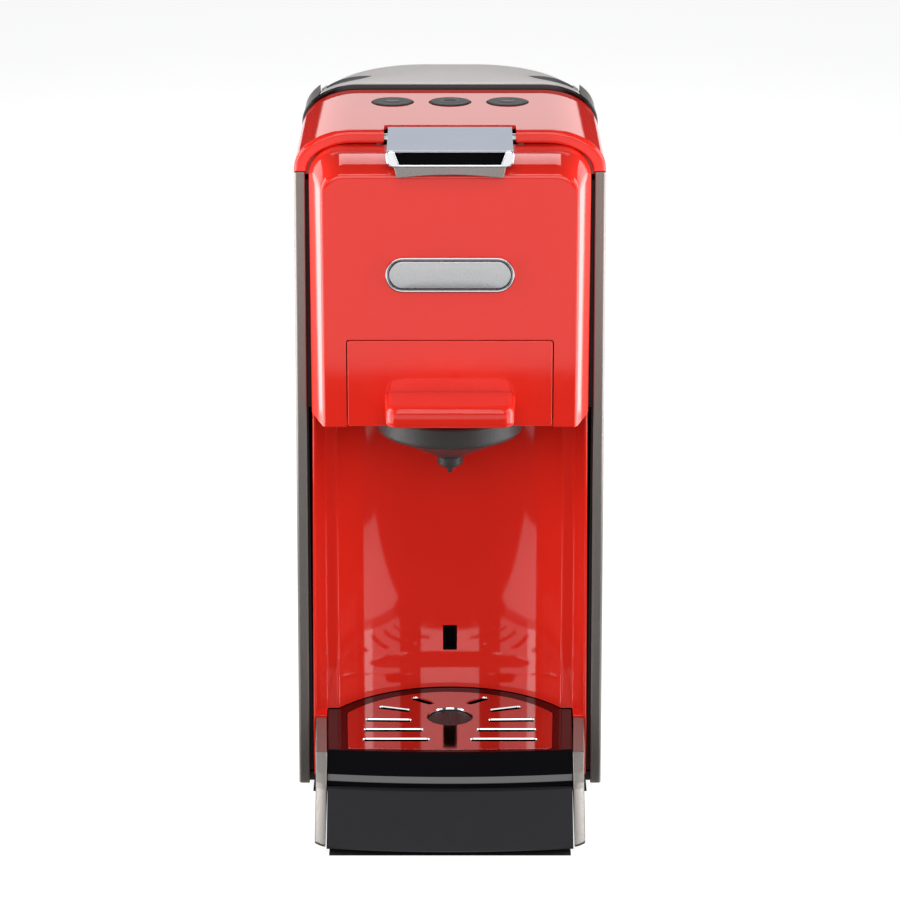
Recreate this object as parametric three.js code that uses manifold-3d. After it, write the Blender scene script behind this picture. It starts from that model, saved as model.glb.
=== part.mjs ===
// A slim pod coffee machine: a lift-up brewing lever, a pull-out pod drawer, a drip tray and a rear water tank.
// Millimetres, +Z up, +X to the machine's right as seen from the front, -Y towards the user.
// The origin is on the table under the centre of the machine's outline.
import * as THREE from "three";
import { mergeVertices } from "three/addons/utils/BufferGeometryUtils.js";
import Module from "manifold-3d";

const wasm = await Module();
wasm.setup();

// ---------------------------------------------------------------- driving dimensions
const halfWidth = 62.5; // outside of the top cap
const faceY = -58; // front plane of the side panels and of the cap's bezel
const frontY = -127; // foremost point of the drip tray
const rearY = 127; // rearmost point, the lid hinge and the cord gland
const capTopZ = 284.8;
const capRearY = 25;
const shoulderZ = 268; // the cap stands on the side panels here
const footHeight = 3;
const deckTopZ = 33; // the surface that cups stand on
const noseY = -95; // the deck slopes down from here to its nose
const frontBow = 3.2; // of the deck's nose and of the tray's front
const headBottomZ = 169; // underside of the brewing head
const headFrontY = -83;
const brewY = -57; // the pod, the piston and the spout share this upright axis
const leverAxis = { y: -53, z: 280.4 };
const cupRoomBackY = -23.6; // deepest point of the cup bay
const bayRadius = 57.5;
const gap = 0.3; // between pieces that touch
const wall = 2.5;
const panelDraft = Math.atan(1.5 / 265); // the side panels splay outwards to the table
const pistonLift = 8;
const leverSwing = THREE.MathUtils.degToRad(75);
const tankRearY = 120.5;
const tankStraightY = 62; // the tank's sides are straight up to here, then curve round its rear
const hingeAxis = { y: 124, z: 265.5 };

// ---------------------------------------------------------------- materials
const finish = (color, roughness, metalness) =>
  new THREE.MeshStandardMaterial({ color, roughness, metalness });
const red = finish(0xd8231f, 0.18, 0);
const titanium = finish(0x8c857f, 0.38, 0.6);
const glossBlack = finish(0x0b0b0c, 0.12, 0);
const satinBlack = finish(0x1c1c20, 0.45, 0);
const structureBlack = finish(0x151516, 0.6, 0);
const holderGrey = finish(0x3a3838, 0.5, 0);
const chrome = finish(0xd9dde2, 0.08, 1);
const steel = finish(0xbfc1c2, 0.2, 1);
const rubber = finish(0x17171a, 0.85, 0);
const smoke = finish(0x6b6f73, 0.1, 0);
const aluminium = finish(0xa9abac, 0.4, 1);
const copperCoil = finish(0x8a4a25, 0.5, 0.3);
const boardGreen = finish(0x1f5a35, 0.6, 0);
const silicone = finish(0xd9d6cc, 0.55, 0);

// ---------------------------------------------------------------- solids
// A closed geometry as a solid that can be joined and cut, with its faces pointing out.
function solid(geometry) {
  const plain = geometry.index ? geometry.toNonIndexed() : geometry.clone();
  plain.deleteAttribute("normal");
  plain.deleteAttribute("uv");
  const merged = mergeVertices(plain, 1e-3);
  const vertProperties = merged.attributes.position.array;
  const triVerts = new Uint32Array(merged.index.array);
  const made = new wasm.Manifold(new wasm.Mesh({ numProp: 3, vertProperties, triVerts }));
  if (made.volume() > 0) return made;
  for (let i = 0; i < triVerts.length; i += 3) {
    [triVerts[i + 1], triVerts[i + 2]] = [triVerts[i + 2], triVerts[i + 1]];
  }
  return new wasm.Manifold(new wasm.Mesh({ numProp: 3, vertProperties, triVerts }));
}

const join = (...solids) => solids.reduce((a, b) => a.add(b));
const cut = (from, ...tools) => tools.reduce((a, b) => a.subtract(b), from);

function box(x0, x1, y0, y1, z0, z1) {
  const geometry = new THREE.BoxGeometry(x1 - x0, y1 - y0, z1 - z0);
  return solid(geometry.translate((x0 + x1) / 2, (y0 + y1) / 2, (z0 + z1) / 2));
}

const wide = (half, y0, y1, z0, z1) => box(-half, half, y0, y1, z0, z1);

function rodZ(radius, x, y, z0, z1, segments = 24) {
  const geometry = new THREE.CylinderGeometry(radius, radius, z1 - z0, segments);
  return solid(geometry.rotateX(Math.PI / 2).translate(x, y, (z0 + z1) / 2));
}

function rodX(radius, x0, x1, y, z, segments = 20) {
  const geometry = new THREE.CylinderGeometry(radius, radius, x1 - x0, segments);
  return solid(geometry.rotateZ(Math.PI / 2).translate((x0 + x1) / 2, y, z));
}

function rodY(radius, x, y0, y1, z, segments = 20) {
  const geometry = new THREE.CylinderGeometry(radius, radius, y1 - y0, segments);
  return solid(geometry.translate(x, (y0 + y1) / 2, z));
}

const shapeOf = (points) => new THREE.Shape(points.map(([a, b]) => new THREE.Vector2(a, b)));

const extrude = (shape, depth, curveSegments) =>
  new THREE.ExtrudeGeometry(shape, { depth, bevelEnabled: false, curveSegments });

// A plan outline in X and Y, raised from z0 to z1.
const raised = (shape, z0, z1, curveSegments = 12) =>
  solid(extrude(shape, z1 - z0, curveSegments).translate(0, 0, z0));

// A front outline in X and Z, carried from y0 back to y1.
const carried = (shape, y0, y1, curveSegments = 8) =>
  solid(extrude(shape, y1 - y0, curveSegments).rotateX(Math.PI / 2).translate(0, y1, 0));

// A side outline in Y and Z, spanning x0 to x1.
function spanned(shape, x0, x1, curveSegments = 8) {
  const turn = new THREE.Matrix4().makeBasis(
    new THREE.Vector3(0, 1, 0),
    new THREE.Vector3(0, 0, 1),
    new THREE.Vector3(1, 0, 0),
  );
  return solid(extrude(shape, x1 - x0, curveSegments).applyMatrix4(turn).translate(x0, 0, 0));
}

// A profile of [radius, z] pairs turned about the upright axis through x, y.
function turned(profile, x, y, segments = 32) {
  const points = profile.map(([r, z]) => new THREE.Vector2(r, z));
  const geometry = new THREE.LatheGeometry(points, segments);
  return solid(geometry.rotateX(Math.PI / 2).translate(x, y, 0));
}

// A round bar that follows a smooth curve through the points.
function bar(radius, points, steps, sides = 8) {
  const section = new THREE.Shape();
  section.absarc(0, 0, radius, 0, 2 * Math.PI);
  const extrudePath = new THREE.CatmullRomCurve3(points.map((p) => new THREE.Vector3(...p)));
  const options = { steps, extrudePath, bevelEnabled: false, curveSegments: sides / 2 };
  return solid(new THREE.ExtrudeGeometry(section, options));
}

// The machine's arch: upright sides, a flat top and elliptical shoulders.
function archPoints(half, top, shoulderX, shoulderZ_, bottom, steps = 7) {
  const points = [[-half, bottom]];
  for (const side of [-1, 1]) {
    for (let i = 0; i <= steps; i++) {
      const t = ((side < 0 ? i : steps - i) / steps) * (Math.PI / 2);
      const x = half - shoulderX + shoulderX * Math.cos(t);
      points.push([side * x, top - shoulderZ_ + shoulderZ_ * Math.sin(t)]);
    }
  }
  points.push([half, bottom]);
  return points;
}

const arch = (...sizes) => shapeOf(archPoints(...sizes));

// A closed body through loops of the same number of points; flat lays a point out in the plane of the end caps.
function loft(loops, flat) {
  const count = loops[0].length;
  const triangles = [];
  for (let s = 0; s + 1 < loops.length; s++) {
    for (let i = 0; i < count; i++) {
      const j = (i + 1) % count;
      triangles.push(loops[s][i], loops[s][j], loops[s + 1][j]);
      triangles.push(loops[s][i], loops[s + 1][j], loops[s + 1][i]);
    }
  }
  const clockwise = THREE.ShapeUtils.isClockWise(loops[0].map(flat));
  for (const [loop, flip] of [[loops[0], !clockwise], [loops.at(-1), clockwise]]) {
    for (const [a, b, c] of THREE.ShapeUtils.triangulateShape(loop.map(flat), [])) {
      triangles.push(...(flip ? [loop[a], loop[c], loop[b]] : [loop[a], loop[b], loop[c]]));
    }
  }
  const positions = new THREE.Float32BufferAttribute(triangles.flat(), 3);
  return solid(new THREE.BufferGeometry().setAttribute("position", positions));
}

// A closed body through arch sections, each given as [y, half, top, shoulderX, shoulderZ].
function archLoft(sections, bottom) {
  const loops = sections.map(([y, ...sizes]) =>
    archPoints(...sizes, bottom).map(([x, z]) => [x, y, z]),
  );
  return loft(loops, ([x, , z]) => new THREE.Vector2(x, z));
}

// A plan outline with a straight front and a half-elliptical rear.
function roundedRear(half, y0, straightTo, rear) {
  const shape = new THREE.Shape();
  shape.moveTo(-half, y0);
  shape.lineTo(half, y0);
  shape.lineTo(half, straightTo);
  shape.absellipse(0, straightTo, half, rear - straightTo, 0, Math.PI);
  shape.lineTo(-half, y0);
  return shape;
}

// ---------------------------------------------------------------- the scene
const machine = new THREE.Group();
machine.name = "pod_coffee_machine";

function add(name, made, material, parent = machine) {
  const { vertProperties, triVerts } = made.getMesh();
  const geometry = new THREE.BufferGeometry()
    .setAttribute("position", new THREE.BufferAttribute(vertProperties, 3))
    .setIndex(new THREE.BufferAttribute(triVerts, 1));
  geometry.computeVertexNormals();
  const mesh = new THREE.Mesh(geometry, material);
  mesh.name = name;
  parent.add(mesh);
  return mesh;
}

// ---------------------------------------------------------------- base
const panHalf = 57.4;
const screwPlaces = [[-46, -15], [46, -15], [-46, 48], [46, 48]];

const hosePassage = rodY(4.6, 0, 54, 84, 13.5, 12); // from the tank's valve to the pump

function makeBase() {
  const pan = join(
    wide(50, -104, faceY + 2, footHeight, 7),
    wide(panHalf, faceY + 1, -54, footHeight, 7),
    wide(61.3, -54.6, 59.6, footHeight, 7),
    wide(panHalf, 56.6, 59.6, 6, 14), // rear upstand
  );
  const screwHoles = screwPlaces.map(([x, y]) => rodZ(3.7, x, y, 2, 8, 12));
  add("base_pan", cut(pan, ...screwHoles, hosePassage), structureBlack);

  screwPlaces.forEach(([x, y], i) => {
    const screw = join(rodZ(3.2, x, y, 3.4, 5.6, 12), rodZ(1.6, x, y, 5.5, 15, 10));
    const cross = join(
      box(x - 2, x + 2, y - 0.4, y + 0.4, 3, 4.4),
      box(x - 0.4, x + 0.4, y - 2, y + 2, 3, 4.4),
    );
    add(`base_screw_${i + 1}`, cut(screw, cross), steel);
  });

  const footPlaces = {
    front_left: [-40, -94],
    front_right: [40, -94],
    rear_left: [-34, 88],
    rear_right: [34, 88],
  };
  for (const [place, [x, y]] of Object.entries(footPlaces)) {
    const profile = [[0, 0], [7, 0], [8, 1], [8, footHeight - gap], [0, footHeight - gap]];
    add(`foot_${place}`, turned(profile, x, y, 20), rubber);
  }

  // The cheeks stand beside the drip tray: flat on top, then sloping down along its front.
  const cheek = shapeOf([
    [-124, footHeight],
    [-57.7, footHeight],
    [-57.7, deckTopZ],
    [noseY, deckTopZ],
    [-102, 26],
    [-104.3, 23],
    [-106, 21.6],
  ]);
  for (const [side, name] of [[-1, "left"], [1, "right"]]) {
    const plan = [[56.4, -57.7], [55.3, -100], [54.9, -120.5], [50.4, -125], [50.4, noseY], [51.9, -57.7]];
    const taper = raised(shapeOf(plan.map(([x, y]) => [side * x, y])), 0, 40);
    add(`base_cheek_${name}`, spanned(cheek, -60, 60).intersect(taper), titanium);
  }

  // The ledge that carries the tank, with a well for the tank's valve and a duct for its hose.
  const ledge = raised(roundedRear(panHalf, 60.3, tankStraightY, tankRearY), footHeight, 23, 14);
  const well = rodZ(9, 0, 84, 9, 24);
  add("tank_base", cut(ledge, well, hosePassage), structureBlack);

  // The cord's gland, closed behind a shallow dimple.
  const gland = join(rodY(7.5, 0, tankRearY + gap, 123, 13), rodY(5.2, 0, 122, rearY, 13));
  add("cord_gland", cut(gland, rodY(3.7, 0, rearY - 3, rearY + 1, 13)), rubber);
}

// ---------------------------------------------------------------- drip tray
const gridHalf = 43.4;

// The outline of the cup grid, grown by the given margin.
function gridOutline(margin) {
  const side = gridHalf + margin;
  const sideY = -53;
  const rear = -29 + margin;
  const rise = rear - sideY;
  const radius = (side * side + rise * rise) / (2 * rise);
  const half = Math.asin(side / radius);
  const shape = new THREE.Shape();
  shape.moveTo(-side + 1.5, -91.5 - margin);
  shape.lineTo(0, -92.5 - margin);
  shape.lineTo(side - 1.5, -91.5 - margin);
  shape.lineTo(side, sideY);
  shape.absarc(0, rear - radius, radius, Math.PI / 2 - half, Math.PI / 2 + half);
  return shape;
}

// A round-ended slot between two points, mirrored to the other side.
function slotPair([xa, ya], [xb, yb], width) {
  const slot = [1, -1].map((side) => {
    const length = Math.hypot(xb - xa, yb - ya);
    const bar_ = new THREE.BoxGeometry(length, width, 8);
    bar_.rotateZ(Math.atan2(yb - ya, side * (xb - xa)));
    bar_.translate((side * (xa + xb)) / 2, (ya + yb) / 2, deckTopZ);
    const ends = [[xa, ya], [xb, yb]].map(([x, y]) => rodZ(width / 2, side * x, y, 29, 37, 10));
    return join(solid(bar_), ...ends);
  });
  return join(...slot);
}

// A side outline of [y, z, share] points that spans the tray.
// Its ends lie back from its middle by that share of the bow.
function bowed(profile, half, steps = 12) {
  const loops = [];
  for (let i = 0; i <= steps; i++) {
    const x = (2 * i / steps - 1) * half;
    const back = frontBow * (x / half) ** 2;
    loops.push(profile.map(([y, z, share]) => [x, y + back * share, z]));
  }
  return loft(loops, ([, y, z]) => new THREE.Vector2(y, z));
}

function makeTray() {
  const rightEdge = [[50.1, noseY], [50.1, -94], [51.6, -57], [51.6, -18]];
  const leftEdge = rightEdge.map(([x, y]) => [-x, y]).reverse();
  const plate = raised(shapeOf([...rightEdge, ...leftEdge]), 29, deckTopZ);
  const nose = [
    [-94.4, deckTopZ, 0],
    [noseY, deckTopZ, 0],
    [-104.5, 26, 0.8],
    [-106.6, 24.1, 1],
    [-107.4, 22.8, 1],
    [-107, 22.1, 1],
    [-104.6, 22.1, 1],
    [noseY, 29, 0],
    [-94.4, 29, 0],
  ];
  const opening = raised(gridOutline(0.5), 31, 35, 12);
  const under = raised(gridOutline(-2.5), 28, 32, 12);
  add("tray_deck", cut(join(plate, bowed(nose, 50.1)), opening, under), glossBlack);

  const slots = [
    slotPair([9.9, -82], [34.7, -82], 3.2),
    slotPair([12.6, -71.6], [34.6, -71.6], 3.2),
    slotPair([17.5, -61.2], [34.3, -60.8], 3.2),
    slotPair([18.3, -50], [28.8, -46.8], 3.2),
    slotPair([8.6, -41.4], [14.6, -36.8], 3.6),
  ];
  const drain = rodZ(9.4, 0, brewY, 29, 37, 28);
  add("cup_grid", cut(raised(gridOutline(0), 31.3, deckTopZ, 12), drain, ...slots), steel);

  add("drip_tray", cut(wide(49.4, -104.3, -28, 8, 21.5), wide(47.6, -102.5, -29.8, 9.8, 30)), satinBlack);
  const face = [[frontY, 3.5, 1], [-109.4, 21.8, 1], [-104.6, 21.8, 0], [-104.6, 3.5, 0]];
  const pocket = shapeOf([[-117.5, 6], [-104, 19.6], [-104, 6]]);
  add("tray_front", cut(bowed(face, 50), spanned(pocket, -47.6, 47.6)), satinBlack);
}

// ---------------------------------------------------------------- casing
function makeCasing() {
  for (const [side, name] of [[-1, "left"], [1, "right"]]) {
    // Drawn about its top outer edge, so that it can lean outwards from there.
    const outer = box(-2, 0, faceY, 60, footHeight - shoulderZ, -gap);
    const lip = box(-4.5, 0, faceY, faceY + 2.5, footHeight - shoulderZ, -gap);
    const panel = join(outer, lip);
    const placed = side > 0 ? panel : panel.mirror([1, 0, 0]);
    const mesh = add(`side_panel_${name}`, placed, titanium);
    mesh.position.set(side * halfWidth, 0, shoulderZ);
    mesh.rotation.y = -side * panelDraft;

    const plate = box(57.9, 60.1, -55.2, 57, 8, 264);
    const stop = box(56.7, 60.1, -55.2, -53, headBottomZ, 264); // closes the gap beside the head
    const frame = join(plate, stop);
    add(`chassis_wall_${name}`, side > 0 ? frame : frame.mirror([1, 0, 0]), structureBlack);
  }

  const bulkhead = carried(arch(60.1, 279.9, 20, 11, 14.4), 57.3, 60);
  add("rear_bulkhead", cut(bulkhead, hosePassage), structureBlack);

  // The red cap: an arched shell with a deeper bezel at its front.
  const outer = carried(arch(halfWidth, capTopZ, 24, 16, shoulderZ), faceY, capRearY);
  const inner = carried(arch(60, capTopZ - wall, 21.5, 13.5, shoulderZ - 5), -54.3, capRearY + 1);
  const bezel = carried(arch(57, 279.4, 15, 12, shoulderZ - 5), faceY - 1, -54);
  const notch = wide(26.3, faceY - 2, -48, 264, 290);
  const bracketPockets = wide(30, -56.8, -44, 264, 283.1);
  const buttonHoles = [-1, 0, 1].map((i) => rodZ(8.8, i * 23.8, -1.7, 278, 290, 24));
  add("top_cap", cut(outer, inner, bezel, notch, bracketPockets, ...buttonHoles), red);

  // The hood behind it carries the front half of the tank's lid in a recess, behind a raised rim.
  const hood = carried(arch(62.8, 285.1, 24, 16, shoulderZ), capRearY + 0.6, 60);
  const rim = carried(arch(62.8, 286.7, 24, 16, shoulderZ), capRearY + 0.6, 27.2);
  const hoodInner = carried(arch(60.4, 280.2, 20, 11, shoulderZ - 5), capRearY, 61);
  const bed = carried(arch(60.1, 283.9, 23.4, 15.6, shoulderZ - 8), capRearY, 62);
  const recess = cut(wide(56, 27.2, 61, shoulderZ - 5, 295), bed);
  add("rear_hood", cut(join(hood, rim), hoodInner, recess), titanium);
}

// ---------------------------------------------------------------- cup bay
// The bay's plan: splayed flanks at the front, a short flat, then an arc; the outer walls run on to the rear.
function bayPlan(outer, flankRear, z) {
  const centreY = cupRoomBackY - bayRadius;
  const arcPoints = (radius, endY) => {
    const end = Math.asin((endY - centreY) / radius);
    const step = (Math.PI - 2 * end) / 20;
    return Array.from({ length: 21 }, (_, i) => {
      const angle = end + i * step;
      return [radius * Math.cos(angle), centreY + radius * Math.sin(angle)];
    });
  };
  const back = arcPoints(bayRadius + wall, -45.5);
  const face = arcPoints(bayRadius, -48).reverse();
  const inner = outer - wall;
  return [
    [outer, -61], [outer, 0], [inner, 0], [inner, -45.5], ...back, [-inner, -45.5], [-inner, 0], [-outer, 0],
    [-outer, -61], [-flankRear, -48], ...face, [flankRear, -48],
  ].map(([x, y]) => [x, y, z]);
}

function makeCupBay() {
  const foot = bayPlan(57.5, 52, deckTopZ + gap);
  const top = bayPlan(56.3, 51.5, headBottomZ - 0.4);
  const upper = loft([foot, top], ([x, y]) => new THREE.Vector2(x, y));
  const skirts = [-1, 1].flatMap((side) => {
    const skirt = box(56.6, 57.5, -58.3, 0, 7.3, 34);
    const ledge = box(51.9, 57.5, -56.9, -44, 29.3, 33.8);
    return side > 0 ? [skirt, ledge] : [skirt.mirror([1, 0, 0]), ledge.mirror([1, 0, 0])];
  });
  const slot = wide(3, cupRoomBackY - 6, cupRoomBackY + 6, 50.2, 61.6);
  add("brew_bay", cut(join(upper, ...skirts), slot), red);

  // The black insert that lines the cup stand's slot, dished by 3 mm.
  const insert = wide(2.7, cupRoomBackY - 0.2, cupRoomBackY + 3.4, 50.5, 61.3);
  const dish = wide(1.9, cupRoomBackY - 3, cupRoomBackY + 2.6, 51.3, 60.5);
  add("bay_slot_insert", cut(insert, dish), structureBlack);
}

// ---------------------------------------------------------------- brewing head
const headCrestZ = 278.9; // just under the bezel
const headFlatTopZ = 270.6; // the flat front starts here
const headCreaseY = -62.6; // the sides draw in from here forward

// Arch sections of the head: its top falls in a quarter ellipse to the flat front.
function headSections(inset, rearY_) {
  const section = (y, turn) => {
    const k = Math.sin(turn) ** 2;
    const drawnIn = 0.276 * Math.max(0, headCreaseY - y) + 0.06 * Math.max(0, -80 - y) ** 2;
    return [
      y,
      56.4 - drawnIn - inset,
      headFlatTopZ + (headCrestZ - headFlatTopZ - inset) * Math.cos(turn),
      14.6 - 5.6 * k - inset,
      11.8 - 3.8 * k - inset,
    ];
  };
  const reach = faceY - headFrontY - inset;
  const turns = [0, 10.6, 22, 34, 46, 57, 68, 79, 90].map(THREE.MathUtils.degToRad);
  return [section(rearY_, 0), ...turns.map((turn) => section(faceY - reach * Math.sin(turn), turn))];
}

const headOuter = archLoft(headSections(0, -52), headBottomZ);

function makeHead() {
  const ceiling = wide(53.4, -60, -18, headBottomZ, headBottomZ + wall);
  const flange = carried(arch(59.4, 281.8, 21, 13.2, 266), -54, -52);
  const cavity = archLoft(headSections(wall, -49), headBottomZ + wall);
  const door = wide(41.4, -90, headFrontY + wall + 0.5, 160, 205.3);
  const drawerSlot = join(wide(30.6, -90, brewY, 160, 175), rodZ(30.6, 0, brewY, 160, 175, 32));
  const camSlot = wide(23.5, -72, -50, 268, 282);
  const bracketSlot = wide(30, faceY, -50, 264, 290);
  const shell = join(cut(join(headOuter, flange), cavity), ceiling);
  add("head_shell", cut(shell, door, drawerSlot, camSlot, bracketSlot), red);

  // A blank oval plate with a raised rim.
  const oval = (half, radius, y0, y1) => {
    const shape = new THREE.Shape();
    shape.absarc(half - radius, 232, radius, -Math.PI / 2, Math.PI / 2);
    shape.absarc(radius - half, 232, radius, Math.PI / 2, (3 * Math.PI) / 2);
    return carried(shape, y0, y1, 8);
  };
  const plate = oval(25.7, 7.1, -84.6, headFrontY - gap);
  add("badge_plate", cut(plate, oval(24.7, 6.1, -86, -84)), steel);
}

// ---------------------------------------------------------------- lever
// The roller's path in the cam falls evenly towards the axis as the lever rises, so the piston's lift
// follows the lever's angle. The cam's edge runs beside that path.
const rollerDrop = 16; // from the lever's axis to the roller's axis, at rest
const rollerRadius = 2.5;

function camShape() {
  const perRadian = pistonLift / leverSwing;
  const place = (angle, radius) => [
    leverAxis.y + radius * Math.sin(angle),
    leverAxis.z - radius * Math.cos(angle),
  ];
  const edge = (angle) => {
    const radius = rollerDrop - perRadian * Math.max(angle, 0);
    const fall = angle > 0 ? perRadian : 0;
    const steep = Math.hypot(fall, radius);
    const inwards = (rollerRadius + 0.35) / steep;
    // along the path's normal, towards the axis
    const down = radius - radius * inwards;
    const across = -fall * inwards;
    const [y, z] = place(angle, down);
    return [y + across * Math.cos(angle), z + across * Math.sin(angle)];
  };
  const shape = new THREE.Shape();
  const first = -0.22;
  const last = 1.55;
  shape.moveTo(...edge(first));
  for (let i = 0; i <= 9; i++) shape.lineTo(...edge((last * i) / 9));
  shape.lineTo(...place(2.3, 3.4));
  shape.lineTo(...place(3.14, 3));
  shape.lineTo(-57.6, 281);
  shape.lineTo(-60, 279.4);
  shape.lineTo(-60, 277.2);
  return shape;
}

function makeLever() {
  const top = (y) => 285 - ((y - leverAxis.y) / (-88 - leverAxis.y)) * 2.2;
  const blade = shapeOf([
    [-53, top(-53)], [-87.6, top(-87.6)], [-88, 282.3], [-88, 272.6], [-87.2, 271.9], [-84.6, 271.9],
    [-83.9, 273], [-83.9, 280], [-60, 280], [-53, 278],
  ]);
  const body = join(
    spanned(blade, -24.8, 24.8),
    rodX(4.6, -24.8, 24.8, leverAxis.y, leverAxis.z, 24),
  );
  const groove = carried(shapeOf([[-21.6, 282.2], [21.6, 282.2], [19.8, 277.4], [-19.8, 277.4]]), -89, -85.2);
  // Below the groove the lip narrows to a tab with an arched edge.
  const edge = [-20.8, -14, -7, 0, 7, 14, 20.8].map((x) => [x, 273.3 - 1.4 * (x / 20.8) ** 2]);
  const below = carried(shapeOf([[-20.8, 271], ...edge, [20.8, 271]]), -89, -83);
  const beside = [-1, 1].map((side) => {
    const corner = [[22, 276.4], [26, 276.4], [26, 271], [20.8, 271]];
    return carried(shapeOf(corner.map(([x, z]) => [side * x, z])), -89, -83);
  });
  const bore = rodX(2.3, -30, 30, leverAxis.y, leverAxis.z, 16);
  const camRooms = [-1, 1].map((side) => {
    const [x0, x1] = side > 0 ? [16.6, 21.4] : [-21.4, -16.6];
    return box(x0, x1, -60.6, -47, 270, 283.8);
  });
  add("lever_handle", cut(body, groove, below, ...beside, bore, ...camRooms), chrome);

  const bridge = wide(21, -82, -59.5, 277.9, 279.6);
  const cams = [-21, 17].map((x) => spanned(camShape(), x, x + 4));
  add("lever_core", cut(join(bridge, ...cams), bore), structureBlack);

  add("lever_pin", rodX(2, -29.3, 29.3, leverAxis.y, leverAxis.z, 16), steel);
  const bracket = shapeOf([
    [-61.5, 206.3],
    [-51, 206.3],
    [-46, 230],
    [-46, 278],
    [-50, 282.8],
    [-56.4, 282.8],
    [-56.4, 240],
  ]);
  for (const [x, name] of [[-29.5, "left"], [27, "right"]]) {
    const hole = rodX(2.3, x - 1, x + 4, leverAxis.y, leverAxis.z, 16);
    add(`lever_bracket_${name}`, cut(spanned(bracket, x, x + 2.5), hole), steel);
  }
}

// ---------------------------------------------------------------- brew group
const behindDoor = wide(80, headFrontY + wall + gap, 80, 100, 300);

function makeBrewGroup() {
  const head = turned(
    [[0, 186], [17, 186], [17, 186.8], [19, 186.8], [19, 186], [21.4, 186], [21.6, 187], [21.6, 195], [20, 196], [0, 196]],
    0, brewY, 28,
  );
  add("piston_head", head, aluminium);

  const rollerZ = leverAxis.z - rollerDrop;
  const yoke = join(
    rodZ(4, 0, brewY, 196.3, 259, 16),
    rodZ(9.5, 0, brewY, 250.3, 252.8, 20), // the collar that the spring pushes
    wide(24.3, -61, -49, 258.5, 261.5),
    box(22.4, 24.3, -57, -49.5, 258.5, 267),
    box(-24.3, -22.4, -57, -49.5, 258.5, 267),
  );
  const stubHole = rodX(1.5, -30, 30, leverAxis.y, rollerZ, 12);
  add("piston_yoke", cut(yoke, stubHole), steel);
  const roller = join(
    rodX(rollerRadius, -22, 22, leverAxis.y, rollerZ, 16),
    rodX(1.2, -24.2, 24.2, leverAxis.y, rollerZ, 12),
  );
  add("piston_roller", roller, steel);

  // The return spring, between the cylinder's lid and the rod's collar.
  const turns = 5;
  const perTurn = 9;
  const coil = Array.from({ length: turns * perTurn + 1 }, (_, i) => {
    const angle = (i / perTurn) * 2 * Math.PI;
    const z = 212.6 + (248.9 - 212.6) * (i / (turns * perTurn));
    return [6.8 * Math.cos(angle), brewY + 6.8 * Math.sin(angle), z];
  });
  add("piston_spring", bar(0.9, coil, turns * perTurn, 6), steel);

  const barrel = turned(
    [[22.1, 186], [26, 186], [26, 211.2], [5, 211.2], [5, 208.5], [22.1, 208.5], [22.1, 186]],
    0, brewY, 28,
  );
  const cylinder = barrel.intersect(behindDoor);
  const arms = [[-53.4, -25], [25, 53.4]].map(([x0, x1]) => box(x0, x1, -62, -52, 198, 206));
  add("brew_cylinder", join(cylinder, ...arms), aluminium);
}

// ---------------------------------------------------------------- pod drawer
function makeDrawer() {
  const window_ = wide(41, -90, headFrontY + wall, headBottomZ + 0.2, 204.9);
  add("drawer_front", headOuter.intersect(window_), red);

  const tab = new THREE.Shape();
  tab.moveTo(26.4, headFrontY - gap);
  tab.lineTo(-26.4, headFrontY - gap);
  tab.lineTo(-25.4, -100);
  tab.absarc(-20.4, -100, 5, Math.PI, 1.5 * Math.PI);
  tab.absarc(20.4, -100, 5, 1.5 * Math.PI, 2 * Math.PI);
  const tabSide = shapeOf([
    [-82, 174.8], [-103.8, 174.8], [-105.2, 176], [-105.2, 181.6], [-104.6, 182.9], [-103, 183.6], [-82, 183.8],
  ]);
  add("pull_tab", raised(tab, 170, 190, 6).intersect(spanned(tabSide, -30, 30)), red);

  const carriage = cut(wide(36, -80, -24, 172.6, 176.2), rodZ(27.4, 0, brewY, 170, 180, 32));
  add("drawer_carriage", carriage, structureBlack);
  for (const [x, name] of [[-39, "left"], [36.4, "right"]]) {
    add(`drawer_rail_${name}`, box(x, x + 2.6, -79, -24, 171.9, 178), structureBlack);
  }

  // The holder's skirt hangs below the head; above it the cup is cut flat to stand behind the door.
  const skirt = [
    [2.4, 149.2], [6.4, 149.2], [7, 149.8], [24, 158.2], [28.6, 159.8], [29.7, 161.2], [29.7, 167.6],
    [29.2, 168.6], [22.4, 168.6], [22.4, 166], [2.4, 163], [2.4, 149.2],
  ];
  const cup = [[22.4, 168], [26.8, 168], [26.8, 184.3], [22.4, 184.3], [22.4, 168]];
  const holder = join(turned(skirt, 0, brewY, 32), turned(cup, 0, brewY, 32).intersect(behindDoor));
  add("pod_holder", holder, holderGrey);
  const basket = [
    [1, 167.3], [1, 166.5], [22, 166.5], [22, 184.7], [24.4, 184.7], [24.4, 185.3], [21.4, 185.3],
    [21.4, 167.3], [1, 167.3],
  ];
  add("pod_basket", turned(basket, 0, brewY, 24).intersect(behindDoor), steel);
  const spout = [
    [0, 148.9], [5.3, 148.9], [5.3, 145.4], [4.4, 144.6], [1.9, 144.2], [1.1, 141.5], [0, 141.5],
  ];
  add("spout", turned(spout, 0, brewY, 20), holderGrey);
}

// ---------------------------------------------------------------- water tank and lid
const lidFrontY = 27.5;
const lidFall = (y) => 287 - ((y - lidFrontY) * (y - lidFrontY)) / 900; // top of the lid along its middle

// Arch sections of the lid: the cap's arch at its front, a rounder dome over the tank.
function lidSections(inset, yFrom, yTo) {
  return Array.from({ length: 9 }, (_, i) => {
    const y = yFrom + ((yTo - yFrom) * i) / 8;
    const k = THREE.MathUtils.smoothstep(y, lidFrontY, 61);
    return [y, 62.8 - inset, lidFall(y) - inset, 24 + 28 * k - inset, 16 + 3 * k - inset];
  });
}

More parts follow.
